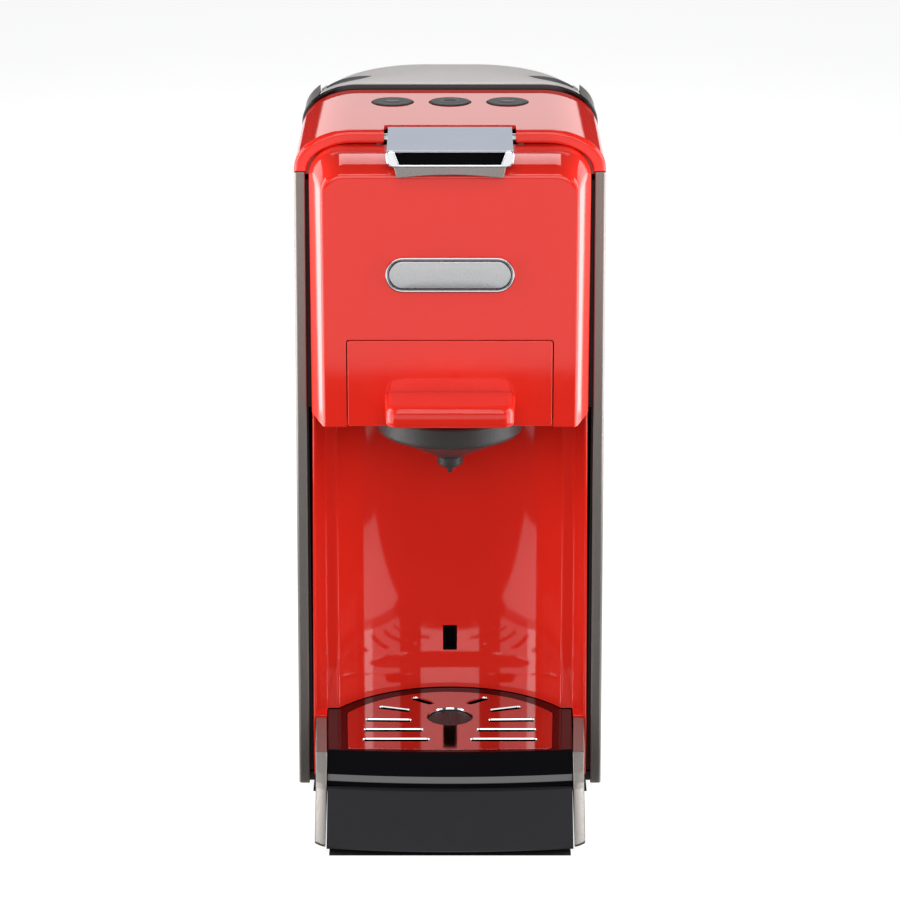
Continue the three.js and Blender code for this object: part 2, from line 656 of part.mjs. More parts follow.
function makeTank() {
  const body = raised(roundedRear(57.5, 61, tankStraightY, tankRearY), 25, 268, 16);
  const room = raised(roundedRear(55.3, 63.2, tankStraightY + 2, tankRearY - 2.2), 27.5, 270, 16);
  const ears = [[10.6, 15], [-15, -10.6]].map(([x0, x1]) =>
    join(
      rodX(3, x0, x1, hingeAxis.y, hingeAxis.z, 16),
      box(x0, x1, 116.8, hingeAxis.y, 262.5, 267),
    ),
  );
  const pinHole = rodX(1.4, -20, 20, hingeAxis.y, hingeAxis.z, 12);
  const valveHole = rodZ(6.2, 0, 84, 20, 30, 20);
  const tank = cut(join(cut(body, room), ...ears), cut(pinHole, wide(9, 110, 130, 260, 270)), valveHole);
  add("water_tank", tank, smoke);
  const valve = [[0, 14], [4, 14], [4, 18], [5.9, 18], [5.9, 29], [3, 29], [0, 29]];
  add("tank_valve", turned(valve, 0, 84, 20), structureBlack);

  const plan = raised(roundedRear(55.5, lidFrontY, tankStraightY, 121.4), 250, 300, 16);
  const planInside = raised(roundedRear(53, 63.5, tankStraightY + 2.5, 119), 250, 300, 16);
  const dome = archLoft(lidSections(0, lidFrontY - 0.5, 124), 250).intersect(plan);
  const frontUnderside = carried(arch(60.5, 284.3, 23.6, 15.8, 240), 20, 60.9);
  const shell = cut(dome, frontUnderside, wide(70, 60.8, 130, 240, 268.7));
  const hollow = archLoft(lidSections(2.4, 62, 126), 240).intersect(planInside);
  const lug = join(
    rodX(3, -10.2, 10.2, hingeAxis.y, hingeAxis.z, 16),
    wide(10.2, 119.5, 125.6, 268.7, 272),
    wide(10.2, 122.4, 125.6, hingeAxis.z, 270),
  );
  add("tank_lid", cut(join(cut(shell, hollow), lug), pinHole), titanium);
  add("lid_pin", rodX(1.2, -14.8, 14.8, hingeAxis.y, hingeAxis.z, 12), steel);
}

// ---------------------------------------------------------------- controls
function makeControls() {
  for (const [i, name] of [[-1, "left"], [0, "centre"], [1, "right"]]) {
    const profile = [[0, 279.5], [7, 279.5], [8.4, 281], [8.4, 284.9], [7.8, 285.4], [0, 285.2]];
    add(`button_${name}`, turned(profile, i * 23.8, -1.7, 24), rubber);
  }
  // The board stands on a strip that rests on the two chassis walls.
  const board = join(
    wide(59.8, -12, 2, 264.3, 265.8),
    wide(28, -8, -2, 265, 269),
    wide(34, -24, 20, 268, 269.6),
    ...[-1, 0, 1].map((i) => box(i * 23.8 - 3, i * 23.8 + 3, -4.7, 1.3, 269.5, 277)),
    box(-12, 6, 6, 16, 269.5, 271.5),
    box(12, 22, 8, 16, 269.5, 275),
  );
  add("control_board", board, boardGreen);
}

// ---------------------------------------------------------------- water path
function makeWaterPath() {
  const pump = [
    [0, 62], [3.5, 62], [3.5, 70], [12, 70], [12, 76], [19, 76], [19, 120], [12, 120], [12, 134],
    [3.5, 134], [3.5, 146], [0, 146],
  ];
  const hanger = wide(57.6, 14, 30, 96, 99); // from wall to wall of the chassis
  add("water_pump", join(turned(pump, 0, 22, 20), hanger), copperCoil);
  const boiler = join(
    wide(32, -12, 44, 192, 224),
    wide(26, -6, 38, 223, 232),
    wide(57.6, 6, 26, 204, 208),
    rodZ(5, 15, 16, 186, 193, 12),
  );
  add("boiler", boiler, aluminium);
  const suction = [
    [0, 76, 13.5],
    [0, 62, 13.5],
    [0, 48, 13.5],
    [0, 32, 16],
    [0, 23, 26],
    [0, 22, 42],
    [0, 22, 61.4],
  ];
  add("suction_hose", bar(3, suction, 20), silicone);
  const pressure = [[0, 22, 146.5], [0, 22, 154], [4, 20, 164], [12, 17, 172], [15, 16, 178], [15, 16, 185.4]];
  add("pressure_hose", bar(2.6, pressure, 16), silicone);
  const brew = [
    [0, -12.6, 214],
    [-1, -20, 214.5],
    [-6, -32, 218],
    [-12, -44, 223],
    [-17, -53, 222],
    [-18, -57, 217],
    [-18, -57, 211.8],
  ];
  add("brew_hose", bar(2.4, brew, 20), silicone);
}

makeBase();
makeTray();
makeCasing();
makeCupBay();
makeHead();
makeLever();
makeBrewGroup();
makeDrawer();
makeTank();
makeControls();
makeWaterPath();

export default machine;
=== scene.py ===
"""Looks for the pod coffee machine: detailed pieces, procedural materials, light and camera."""

import math

import bmesh
import bpy
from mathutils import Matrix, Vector


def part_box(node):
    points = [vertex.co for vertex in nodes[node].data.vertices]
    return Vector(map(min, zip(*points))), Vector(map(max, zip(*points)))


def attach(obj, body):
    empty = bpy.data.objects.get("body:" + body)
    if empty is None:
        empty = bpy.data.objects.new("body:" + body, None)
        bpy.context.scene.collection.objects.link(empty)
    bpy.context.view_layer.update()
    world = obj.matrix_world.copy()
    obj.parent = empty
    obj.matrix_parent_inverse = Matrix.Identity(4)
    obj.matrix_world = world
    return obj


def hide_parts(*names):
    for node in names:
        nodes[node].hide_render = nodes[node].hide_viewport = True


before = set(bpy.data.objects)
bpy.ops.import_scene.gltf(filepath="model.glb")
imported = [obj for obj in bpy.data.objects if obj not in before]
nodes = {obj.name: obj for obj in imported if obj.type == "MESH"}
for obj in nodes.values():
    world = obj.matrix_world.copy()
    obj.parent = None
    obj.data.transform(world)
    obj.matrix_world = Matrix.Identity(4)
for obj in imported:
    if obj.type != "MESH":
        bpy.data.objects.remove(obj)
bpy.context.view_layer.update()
scene = bpy.context.scene

# Sizes are in millimetres: x to the viewer's right, y to the back, z up.
MM = 0.001
SIDES = ((-1, "left"), (1, "right"))

PANEL_FOOT = 3
PANEL_RISE = 264.7
PANEL_DRAFT = 1.5 / 265
CAP_FOOT = 268.05
CAP_CORNER = (24, 16)
KEY_PITCH = 23.8
KEY_Y = -1.7

DECK_TOP = 33
CREASE_Y = -95
FRONT_BOW = 3.2
DRAIN_Y = -56.8

BAY_RADIUS = 57.5
BAY_CENTRE = -23.6 - BAY_RADIUS
BAY_FLANK_REAR = -48

GROUP_Y = -57
LEVER_PIN = (-53, 280.4)
TANK_VALVE_Y = 84
LID_PIN = (124, 265.5)
LID_FRONT = 27.5


# ---------------------------------------------------------------- outlines
def share(value, start, end):
    """How far a value lies from start to end, held between 0 and 1."""
    return min(max((value - start) / (end - start), 0), 1)


def rectangle(x0, y0, x1, y1):
    return [(x0, y0), (x1, y0), (x1, y1), (x0, y1)]


def arc(cx, cy, rx, ry, start, end, steps):
    """Points of an elliptical arc; the angles are in degrees."""
    points = []
    for i in range(steps + 1):
        angle = math.radians(start + (end - start) * i / steps)
        points.append((cx + rx * math.cos(angle), cy + ry * math.sin(angle)))
    return points


def rounded(points, radius, steps=4):
    """A closed outline with rounded corners; radius is one number, or one for each corner."""
    radii = radius if isinstance(radius, (list, tuple)) else [radius] * len(points)
    out = []
    for i, corner in enumerate(points):
        p = Vector(corner)
        a = Vector(points[i - 1]) - p
        b = Vector(points[(i + 1) % len(points)]) - p
        la, lb = a.length, b.length
        a.normalize()
        b.normalize()
        angle = a.angle(b)
        if radii[i] <= 0 or angle > math.pi - 0.02:
            out.append((p.x, p.y))
            continue
        reach = min(radii[i] / math.tan(angle / 2), la * 0.49, lb * 0.49)
        r = reach * math.tan(angle / 2)
        centre = p + (a + b).normalized() * (r / math.sin(angle / 2))
        first, last = p + a * reach - centre, p + b * reach - centre
        begin = math.atan2(first.y, first.x)
        turn = math.atan2(last.y, last.x) - begin
        turn = (turn + math.pi) % (2 * math.pi) - math.pi
        for k in range(steps + 1):
            t = begin + turn * k / steps
            out.append((centre.x + r * math.cos(t), centre.y + r * math.sin(t)))
    return out


def arch(half, top, rx, rz, bottom, corner=16, side=5, flat=10):
    """The machine's arch as (x, z, normal x, normal z), up the left side and down the right."""
    low = top - rz
    left = [(-half, bottom + (low - bottom) * i / side, -1.0, 0.0) for i in range(side)]
    for i in range(corner + 1):
        t = math.pi / 2 * i / corner
        n = Vector((-math.cos(t) / rx, math.sin(t) / rz)).normalized()
        left.append((-(half - rx) - rx * math.cos(t), low + rz * math.sin(t), n.x, n.y))
    inner = half - rx
    middle = [(-inner + 2 * inner * i / flat, top, 0.0, 1.0) for i in range(1, flat)]
    right = [(-x, z, -nx, nz) for x, z, nx, nz in reversed(left)]
    return left + middle + right


def d_plan(half, front, straight, rear, steps=40, front_radius=0.0):
    """A plan with a straight front and a half-elliptical rear."""
    corners = [(-half, straight), (-half, front), (half, front), (half, straight)]
    base = rounded(corners, [0, front_radius, front_radius, 0], 5)
    return base[:-1] + arc(0, straight, half, rear - straight, 0, 180, steps)[:-1]


# ---------------------------------------------------------------- meshes
class Shell:
    """Vertices and faces gathered ring by ring, in millimetres."""

    def __init__(self):
        self.verts = []
        self.faces = []

    def ring(self, points):
        start = len(self.verts)
        self.verts.extend(points)
        return list(range(start, len(self.verts)))

    def bridge(self, a, b, closed=True):
        count = len(a) if closed else len(a) - 1
        for i in range(count):
            j = (i + 1) % len(a)
            self.faces.append((a[i], a[j], b[j], b[i]))

    def cap(self, ring):
        self.faces.append(tuple(ring))

    def rings(self, loops, closed=True, caps=True):
        made = [self.ring(loop) for loop in loops]
        for a, b in zip(made, made[1:]):
            self.bridge(a, b, closed)
        if caps:
            self.cap(made[0])
            self.cap(made[-1])
        return made

    def mesh(self, name):
        mesh = bpy.data.meshes.new(name)
        mesh.from_pydata([Vector(v) * MM for v in self.verts], [], self.faces)
        bm = bmesh.new()
        bm.from_mesh(mesh)
        bmesh.ops.remove_doubles(bm, verts=bm.verts, dist=2e-6)
        bmesh.ops.recalc_face_normals(bm, faces=bm.faces)
        bm.to_mesh(mesh)
        bm.free()
        return mesh


AXES = {
    "x": lambda a, b, d: (d, a, b),
    "y": lambda a, b, d: (a, d, b),
    "z": lambda a, b, d: (a, b, d),
}


def lofted(loops):
    """A solid through closed rings of points."""
    shell = Shell()
    shell.rings(loops)
    return shell


def prism(axis, outline, low, high):
    """An outline carried along an axis. The outline is in (y, z), (x, z) or (x, y)."""
    place = AXES[axis]
    return lofted([[place(a, b, d) for a, b in outline] for d in (low, high)])


def sweep(path, section):
    """A closed section of (outward offset, y) carried along an arch."""
    return lofted([[(x + o * nx, y, z + o * nz) for o, y in section] for x, z, nx, nz in path])


def turned(profile, cx, cy, steps=64):
    """A profile of (radius, z) turned about an upright axis. It ends on the axis or closes on itself."""
    angles = [2 * math.pi * i / steps for i in range(steps)]
    loops = [[(cx + r * math.cos(t), cy + r * math.sin(t), z) for t in angles] for r, z in profile]
    closes = profile[0] == profile[-1] and profile[0][0] > 0
    shell = Shell()
    made = shell.rings(loops[:-1] if closes else loops, caps=False)
    if closes:
        shell.bridge(made[-1], made[0])
    return shell


def cylinder(radius, low, high, cx=0, cy=0, steps=64):
    return turned([(0, low), (radius, low), (radius, high), (0, high)], cx, cy, steps)


def lay_along_x(shell, axis):
    """Lays an upright turned shape along x, about an axis at (y, z)."""
    y, z = axis
    shell.verts = [(c, y + a, z + b) for a, b, c in shell.verts]
    return shell


def blob(shell, name):
    """A loose object from a shell, for cutting."""
    obj = bpy.data.objects.new(name, shell.mesh(name))
    scene.collection.objects.link(obj)
    return obj


def carve(obj, shells, operation="DIFFERENCE"):
    """Cuts shells out of an object for good, or joins or keeps what they share."""
    for i, shell in enumerate(shells):
        tool = blob(shell, f"{obj.name}_tool_{i}")
        mod = obj.modifiers.new("carve", "BOOLEAN")
        mod.operation = operation
        mod.solver = "EXACT"
        mod.object = tool
        graph = bpy.context.evaluated_depsgraph_get()
        mesh = bpy.data.meshes.new_from_object(obj.evaluated_get(graph))
        obj.modifiers.clear()
        old = obj.data
        obj.data = mesh
        bpy.data.meshes.remove(old)
        bpy.data.objects.remove(tool)


def round_edges(obj, width, segments=3):
    mod = obj.modifiers.new("edges", "BEVEL")
    mod.width = width * MM
    mod.segments = segments
    mod.limit_method = "ANGLE"
    mod.angle_limit = math.radians(35)
    mod.harden_normals = False
    mod.use_clamp_overlap = True
    mod.miter_outer = "MITER_ARC"


def smooth(obj, angle=40):
    obj.data.shade_smooth()
    obj.data.set_sharp_from_angle(angle=math.radians(angle))
    mod = obj.modifiers.new("normals", "WEIGHTED_NORMAL")
    mod.keep_sharp = True
    mod.weight = 90
    mod.mode = "FACE_AREA"


def piece(name, shell, material, body, replaces=(), cuts=(), joins=(), keeps=(),
          edge=0.0, segments=3, angle=40):
    """A finished piece: carved, its edges rounded, its material set, riding on its body."""
    obj = blob(shell, name)
    carve(obj, joins, "UNION")
    carve(obj, keeps, "INTERSECT")
    carve(obj, cuts)
    obj.data.materials.clear()
    obj.data.materials.append(material)
    if edge:
        round_edges(obj, edge, segments)
    smooth(obj, angle)
    if replaces:
        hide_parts(*replaces)
    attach(obj, body)
    return obj


def dress(node, material, edge=0.0):
    """A CAD node that stays, with a better material and rounded edges."""
    obj = nodes[node]
    obj.data.materials.clear()
    obj.data.materials.append(material)
    if edge:
        round_edges(obj, edge, 2)
    obj.data.shade_smooth()
    obj.data.set_sharp_from_angle(angle=math.radians(40))
    mod = obj.modifiers.new("normals", "WEIGHTED_NORMAL")
    mod.keep_sharp = True


# ---------------------------------------------------------------- materials
class Nodes:
    """A short way to write a node tree."""

    def __init__(self, name):
        self.material = bpy.data.materials.new(name)
        self.material.use_nodes = True
        self.tree = self.material.node_tree
        self.shader = self.tree.nodes["Principled BSDF"]
        self.coords = self.add("ShaderNodeTexCoord").outputs["Object"]

    def add(self, kind, **values):
        node = self.tree.nodes.new(kind)
        for key, value in values.items():
            setattr(node, key, value)
        return node

    def link(self, a, b):
        self.tree.links.new(a, b)

    def noise(self, scale, detail=3.0, rough=0.5, stretch=None):
        node = self.add("ShaderNodeTexNoise")
        node.inputs["Scale"].default_value = scale
        node.inputs["Detail"].default_value = detail
        node.inputs["Roughness"].default_value = rough
        source = self.coords
        if stretch:
            mapping = self.add("ShaderNodeMapping")
            mapping.inputs["Scale"].default_value = stretch
            self.link(self.coords, mapping.inputs["Vector"])
            source = mapping.outputs["Vector"]
        self.link(source, node.inputs["Vector"])
        return node.outputs["Fac"]

    def spread(self, factor, low, high, start=0.0, end=1.0):
        node = self.add("ShaderNodeMapRange")
        node.inputs["From Min"].default_value = start
        node.inputs["From Max"].default_value = end
        node.inputs["To Min"].default_value = low
        node.inputs["To Max"].default_value = high
        self.link(factor, node.inputs["Value"])
        return node.outputs["Result"]

    def mix(self, factor, a, b):
        node = self.add("ShaderNodeMix", data_type="RGBA")
        node.inputs["A"].default_value = (*a, 1)
        node.inputs["B"].default_value = (*b, 1)
        self.link(factor, node.inputs["Factor"])
        return node.outputs["Result"]

    def bump(self, height, strength, distance, previous=None):
        node = self.add("ShaderNodeBump")
        node.inputs["Strength"].default_value = strength
        node.inputs["Distance"].default_value = distance
        self.link(height, node.inputs["Height"])
        if previous:
            self.link(previous, node.inputs["Normal"])
        return node.outputs["Normal"]

    def set(self, **values):
        for key, value in values.items():
            socket = self.shader.inputs[key.replace("_", " ")]
            if hasattr(value, "is_linked"):
                self.link(value, socket)
            else:
                socket.default_value = value


def gloss_plastic(name, colour, darker, roughness, waviness=0.05):
    """Moulded gloss: faint colour drift, handling marks in the roughness, a slow ripple from the mould."""
    n = Nodes(name)
    drift = n.noise(18, 2)
    n.set(Base_Color=n.mix(drift, colour, darker), IOR=1.5)
    n.set(Roughness=n.spread(n.noise(260, 4, 0.6), roughness * 0.75, roughness * 1.3, 0.3, 0.7))
    n.set(Normal=n.bump(n.noise(28, 1), waviness, 0.0006))
    return n.material


def grained_plastic(name, colour, darker, roughness, grain=2600, depth=0.00006, strength=0.35, level=0.5):
    """Spark-eroded moulded plastic: a fine leathery grain that breaks up the highlights."""
    n = Nodes(name)
    fine = n.noise(grain, 2, 0.6)
    n.set(Base_Color=n.mix(n.noise(60, 3), colour, darker), IOR=1.47, Specular_IOR_Level=level)
    n.set(Roughness=n.spread(fine, roughness * 0.85, roughness * 1.15, 0.3, 0.7))
    n.set(Normal=n.bump(fine, strength, depth))
    return n.material


def metallic_paint(name, colour, darker, roughness, metallic=0.65):
    """Sprayed metallic lacquer: tiny bright flakes under a faint orange peel."""
    n = Nodes(name)
    flakes = n.noise(5200, 1, 0.4)
    n.set(Base_Color=n.mix(n.spread(flakes, 0, 1, 0.25, 0.75), darker, colour), Metallic=metallic)
    n.set(Roughness=n.spread(n.noise(900, 3), roughness * 0.85, roughness * 1.2, 0.3, 0.7))
    peel = n.bump(n.noise(420, 2), 0.10, 0.0002)
    n.set(Normal=n.bump(flakes, 0.03, 0.00003, peel))
    return n.material


def polished_metal(name, colour, roughness, brush=None, strength=0.05):
    """Bright metal with fine rub marks; brush stretches them into a direction."""
    n = Nodes(name)
    marks = n.noise(900, 4, 0.6, brush)
    tint = tuple(c * 0.9 for c in colour)
    n.set(Base_Color=n.mix(n.noise(40, 2), colour, tint), Metallic=1.0)
    n.set(Roughness=n.spread(marks, roughness * 0.6, roughness * 1.6, 0.3, 0.7))
    n.set(Normal=n.bump(marks, strength, 0.00005))
    return n.material


def cast_metal(name, colour, roughness):
    """Dull cast metal with a sandy skin."""
    n = Nodes(name)
    coarse = n.noise(500, 5, 0.65)
    tint = tuple(c * 0.75 for c in colour)
    n.set(Base_Color=n.mix(n.noise(90, 4), colour, tint), Metallic=1.0)
    n.set(Roughness=n.spread(coarse, roughness * 0.8, roughness * 1.2, 0.3, 0.7))
    n.set(Normal=n.bump(coarse, 0.4, 0.0002))
    return n.material


def smoke_plastic(name):
    """Clear smoke-tinted tank plastic with faint flow lines."""
    n = Nodes(name)
    n.set(Base_Color=(0.42, 0.43, 0.44, 1), Transmission_Weight=0.92, IOR=1.49)
    n.set(Roughness=n.spread(n.noise(140, 3), 0.04, 0.12, 0.3, 0.7))
    n.set(Normal=n.bump(n.noise(30, 2, 0.5, (1, 1, 0.25)), 0.12, 0.0008))
    return n.material


def woven_mesh(name):
    """Fine black wire gauze under the drain."""
    n = Nodes(name)
    waves = []
    for axis in "XY":
        wave = n.add("ShaderNodeTexWave", wave_type="BANDS", bands_direction=axis)
        wave.inputs["Scale"].default_value = 420
        n.link(n.coords, wave.inputs["Vector"])
        waves.append(wave.outputs["Fac"])
    weave = n.add("ShaderNodeMath", operation="MAXIMUM")
    n.link(waves[0], weave.inputs[0])
    n.link(waves[1], weave.inputs[1])
    height = weave.outputs["Value"]
    n.set(Base_Color=n.mix(height, (0.002, 0.002, 0.002), (0.03, 0.03, 0.032)), Roughness=0.35)
    n.set(Normal=n.bump(height, 0.9, 0.0006))
    return n.material


RED = gloss_plastic("red_gloss", (0.84, 0.027, 0.015), (0.80, 0.024, 0.013), 0.06)
GLOSS_BLACK = gloss_plastic("gloss_black", (0.0025, 0.002, 0.003), (0.0015, 0.0015, 0.002), 0.05, 0.03)

TITANIUM = metallic_paint("titanium_lacquer", (0.29, 0.268, 0.25), (0.235, 0.217, 0.202), 0.34)
LID_GREY = metallic_paint("lid_lacquer", (0.66, 0.61, 0.59), (0.61, 0.565, 0.545), 0.36, 0.3)

# Near-black plastic with almost no specular. In the lever's finger groove and behind the bay's slot it is
# painted shade: the dark of a deep recess.
PAINTED_SHADE_BLACK = grained_plastic("painted_shade_black", (0.0030, 0.0030, 0.0034), (0.0018, 0.0018, 0.0020), 0.8,
                             level=0.05)
SATIN_BLACK = grained_plastic("satin_black", (0.0105, 0.010, 0.0135), (0.009, 0.0085, 0.0115), 0.5,
                              level=0.3)
BASE_BLACK = grained_plastic("base_black", (0.012, 0.012, 0.013), (0.008, 0.008, 0.009), 0.55,
                             1500, 0.0001, 0.5)
HOLDER = grained_plastic("holder_charcoal", (0.052, 0.050, 0.050), (0.030, 0.029, 0.029), 0.42,
                         1900, 0.00012, 0.7)
RUBBER = grained_plastic("rubber", (0.020, 0.020, 0.022), (0.013, 0.013, 0.014), 0.7, 1200, 0.0001, 0.6)
KEY = grained_plastic("key_rubber", (0.020, 0.018, 0.018), (0.015, 0.014, 0.014), 0.5, 2400, 0.00006, 0.4)
KEY_MARK = grained_plastic("key_mark", (0.16, 0.155, 0.155), (0.13, 0.125, 0.125), 0.5)
PUMP = grained_plastic("pump_coil", (0.20, 0.07, 0.025), (0.12, 0.04, 0.015), 0.4, 700, 0.0003, 0.6)
BOARD = grained_plastic("circuit_board", (0.010, 0.10, 0.035), (0.008, 0.07, 0.025), 0.35, 800, 0.0001, 0.4)
SILICONE = grained_plastic("silicone_hose", (0.62, 0.60, 0.55), (0.52, 0.50, 0.46), 0.45, 600, 0.0001, 0.3)

CHROME = polished_metal("chrome", (0.80, 0.81, 0.84), 0.05, None, 0.02)
MIRROR = polished_metal("mirror_steel", (0.66, 0.65, 0.65), 0.06, (1, 12, 1), 0.03)
TAB_STEEL = polished_metal("tab_steel", (0.31, 0.28, 0.27), 0.22, (14, 1, 1), 0.1)
STEEL = polished_metal("brushed_steel", (0.50, 0.50, 0.50), 0.28, (1, 1, 14), 0.15)
BADGE = polished_metal("badge_steel", (0.62, 0.62, 0.63), 0.22, (1, 1, 18), 0.12)
ALUMINIUM = cast_metal("cast_aluminium", (0.55, 0.56, 0.57), 0.42)

SMOKE = smoke_plastic("smoke_tank")
GAUZE = woven_mesh("drain_gauze")


# ---------------------------------------------------------------- base
def cheek(side, name):
    """The grey block beside the tray: flat to a crease, then down over a soft nose and a sloping front."""
    profile = rounded([(-57.7, 3), (-57.7, DECK_TOP), (CREASE_Y, DECK_TOP), (-101.8, 26.4), (-104.5, 23.0),
                       (-106.4, 21.3), (-124, 3)],
                      [0.3, 0.5, 0.6, 9, 2.0, 3.0, 0.8], 6)
    loops = []
    for across in (0, 0.1, 0.25, 0.45, 0.65, 0.82, 0.93, 1):
        loop = []
        for y, z in profile:
            inner = 50.45 + 1.5 * share(y, CREASE_Y, -57.7)
            outer = 54.9 + 1.5 * share(y, -104, -57.7)
            falls_back = 3.6 * across ** 1.6 * share(y, CREASE_Y, -115)
            loop.append((side * (inner + (outer - inner) * across), y + falls_back, z))
        loops.append(loop)
    piece(f"cheek_{name}", lofted(loops), TITANIUM, "chassis", [f"base_cheek_{name}"], edge=0.45)


def cord_gland():
    profile = rounded([(0, 0), (7.5, 0), (7.5, 2.0), (5.4, 2.6), (5.2, 6.2), (3.6, 6.2), (3.4, 3.4),
                       (0, 3.4)],
                      [0, 0.5, 0.5, 0.5, 0.6, 0.5, 0.3, 0], 3)
    gland = turned(profile, 0, 0, 48)
    gland.verts = [(x, 120.8 + z, 13.5 - y) for x, y, z in gland.verts]
    piece("cord_gland_moulding", gland, RUBBER, "chassis", ["cord_gland"])


def foot_pad(place):
    low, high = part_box(f"foot_{place}")
    cx, cy = (low.x + high.x) / 2 / MM, (low.y + high.y) / 2 / MM
    profile = rounded([(0, 0.25), (5.2, 0.25), (5.6, 0), (7.0, 0), (8.0, 1.0), (8.0, 2.7), (0, 2.7)],
                      [0, 0.1, 0.1, 0.5, 0.4, 0.1, 0], 3)
    pad = turned(profile, cx, cy, 40)
    piece(f"foot_pad_{place}", pad, RUBBER, "chassis", [f"foot_{place}"])


def build_base():
    for side, name in SIDES:
        cheek(side, name)
    plinth = prism("z", d_plan(57.4, 60.3, 62, 120.5, 64), 3, 23)
    well = cylinder(9, 9, 40, 0, TANK_VALVE_Y)
    piece("tank_plinth", plinth, BASE_BLACK, "chassis", ["tank_base"], [well], edge=0.8)
    cord_gland()
    for place in ("front_left", "front_right", "rear_left", "rear_right"):
        foot_pad(place)
    dress("base_pan", BASE_BLACK, 0.4)
    for i in range(1, 5):
        dress(f"base_screw_{i}", STEEL, 0.12)


# ---------------------------------------------------------------- casing
def side_panel(side, name):
    """A panel with a folded front edge that splays out a little towards its foot."""
    outline = rounded([(58.0, -58), (62.5, -58), (62.5, 60), (60.5, 60), (60.5, -55.4), (58.0, -55.4)],
                      [0.5, 1.3, 0.5, 0.5, 0.8, 0.4], 5)
    loops = []
    for i in range(13):
        z = PANEL_FOOT + PANEL_RISE * i / 12
        lean = PANEL_DRAFT * (268 - z)
        loops.append([(side * (x + lean), y, z) for x, y in outline])
    piece(f"panel_{name}", lofted(loops), TITANIUM, "chassis", [f"side_panel_{name}"], edge=0.3)


def cap():
    """The red cap: an arched shell with a front bezel, the lever's notch and three holes for the keys."""
    section = rounded([(0, -58), (0, 25), (-2.5, 25), (-2.5, -54), (-5.4, -54), (-5.4, -58)],
                      [2.0, 0.5, 0.3, 0.3, 0.3, 0.9], 6)
    shell = sweep(arch(62.5, 284.8, *CAP_CORNER, CAP_FOOT), section)
    notch = prism("z", rounded(rectangle(-26.3, -62, 26.3, -48.1), [0, 0, 1.2, 1.2]), 262, 290)
    pockets = prism("z", rectangle(-30, -56.8, 30, -44), 262, 283.1)
    holes = [cylinder(8.8, 278, 290, i * KEY_PITCH, KEY_Y) for i in (-1, 0, 1)]
    piece("cap_shell", shell, RED, "chassis", ["top_cap"], [notch, pockets] + holes, edge=0.3)


def hood():
    """The part the lid rests on: grey shoulders, a black bed between them and a black rim in front. The
    rim's black partly stands for the shaded gap before the lid: painted shade.
    """
    section = rounded([(0, 27.4), (0, 60), (-2.4, 60), (-2.4, 27.4)], [0.3, 0.8, 0.3, 0.3], 4)
    shell = sweep(arch(62.8, 285.1, *CAP_CORNER, CAP_FOOT), section)
    seat = prism("z", rectangle(-56, 20, 56, 70), 276.5, 295)
    piece("hood_shell", shell, TITANIUM, "chassis", ["rear_hood"], [seat], edge=0.35)
    bed = sweep(arch(60.1, 283.9, 23.4, 15.6, 272), [(0, 27.4), (0, 60), (-2.0, 60), (-2.0, 27.4)])
    piece("hood_bed", bed, BASE_BLACK, "chassis", edge=0.2)
    # The gloss black rim fills the gap before the lid's front edge; its black is partly painted shade for
    # that gap.
    section = rounded([(0, 25.6), (0, 27.2), (-4.2, 27.2), (-4.2, 25.6)], [0.7, 0.5, 0.3, 0.3], 4)
    rim = sweep(arch(62.7, 286.7, *CAP_CORNER, CAP_FOOT), section)
    piece("hood_rim", rim, GLOSS_BLACK, "chassis", edge=0.15)


def build_casing():
    for side, name in SIDES:
        side_panel(side, name)
        dress(f"chassis_wall_{name}", BASE_BLACK, 0.3)
    dress("rear_bulkhead", BASE_BLACK, 0.3)
    cap()
    hood()


# ---------------------------------------------------------------- cup bay
def bay_plan(outer, flank_rear, z):
    """The bay's wall in plan: a hollow arc between two flanks that close it against the side panels."""
    inner = outer - 2.5
    back_radius = BAY_RADIUS + 2.5
    end = math.degrees(math.asin((BAY_FLANK_REAR - BAY_CENTRE) / BAY_RADIUS))
    back_end = math.degrees(math.asin((-45.5 - BAY_CENTRE) / back_radius))
    face = arc(0, BAY_CENTRE, BAY_RADIUS, BAY_RADIUS, 180 - end, end, 56)
    back = arc(0, BAY_CENTRE, back_radius, back_radius, back_end, 180 - back_end, 28)
    points = [(outer, -61), (outer, 0), (inner, 0), (inner, -45.5)] + back
    points += [(-inner, -45.5), (-inner, 0), (-outer, 0), (-outer, -61)]
    points += [(-flank_rear, BAY_FLANK_REAR)] + face + [(flank_rear, BAY_FLANK_REAR)]
    radii = [0.7, 0.3, 0.3, 0] + [0] * len(back) + [0, 0.3, 0.3, 0.7, 1.2]
    radii += [2.2] + [0] * (len(face) - 2) + [2.2, 1.2]
    return [(x, y, z) for x, y in rounded(points, radii, 5)]


def build_bay():
    heights = [i / 8 for i in range(9)]
    wall = lofted([bay_plan(57.5 - 1.2 * t, 52 - 0.5 * t, 33.3 + 135.3 * t) for t in heights])
    slot = prism("y", rounded(rectangle(-3, 50.2, 3, 61.6), 0.3), -30, -18)
    piece("bay_wall", wall, RED, "chassis", ["brew_bay"], [slot], edge=0.25)
    for side, name in SIDES:
        skirt = prism("z", rounded(rectangle(side * 56.6, -58.3, side * 57.5, -1), 0.3), 7.3, 33.2)
        piece(f"bay_skirt_{name}", skirt, RED, "chassis")
        ledge = prism("z", rectangle(side * 51.9, -56.9, side * 57.3, -44), 29.3, 33.7)
        piece(f"bay_ledge_{name}", ledge, RED, "chassis", edge=0.3)
    # The slot insert's near-black is painted shade: the dark inside the slot.
    dress("bay_slot_insert", PAINTED_SHADE_BLACK, 0.15)


# ---------------------------------------------------------------- deck, grid and tray
def bowed(profile, half, columns=45):
    """A side outline carried across the tray, from points of (y, z, share of the bow, extra width)."""
    loops = []
    for i in range(columns):
        s = math.sin(math.pi / 2 * (-1 + 2 * i / (columns - 1)))
        loops.append([(s * (half + wide), y + FRONT_BOW * s * s * bow, z) for y, z, bow, wide in profile])
    return lofted(loops)


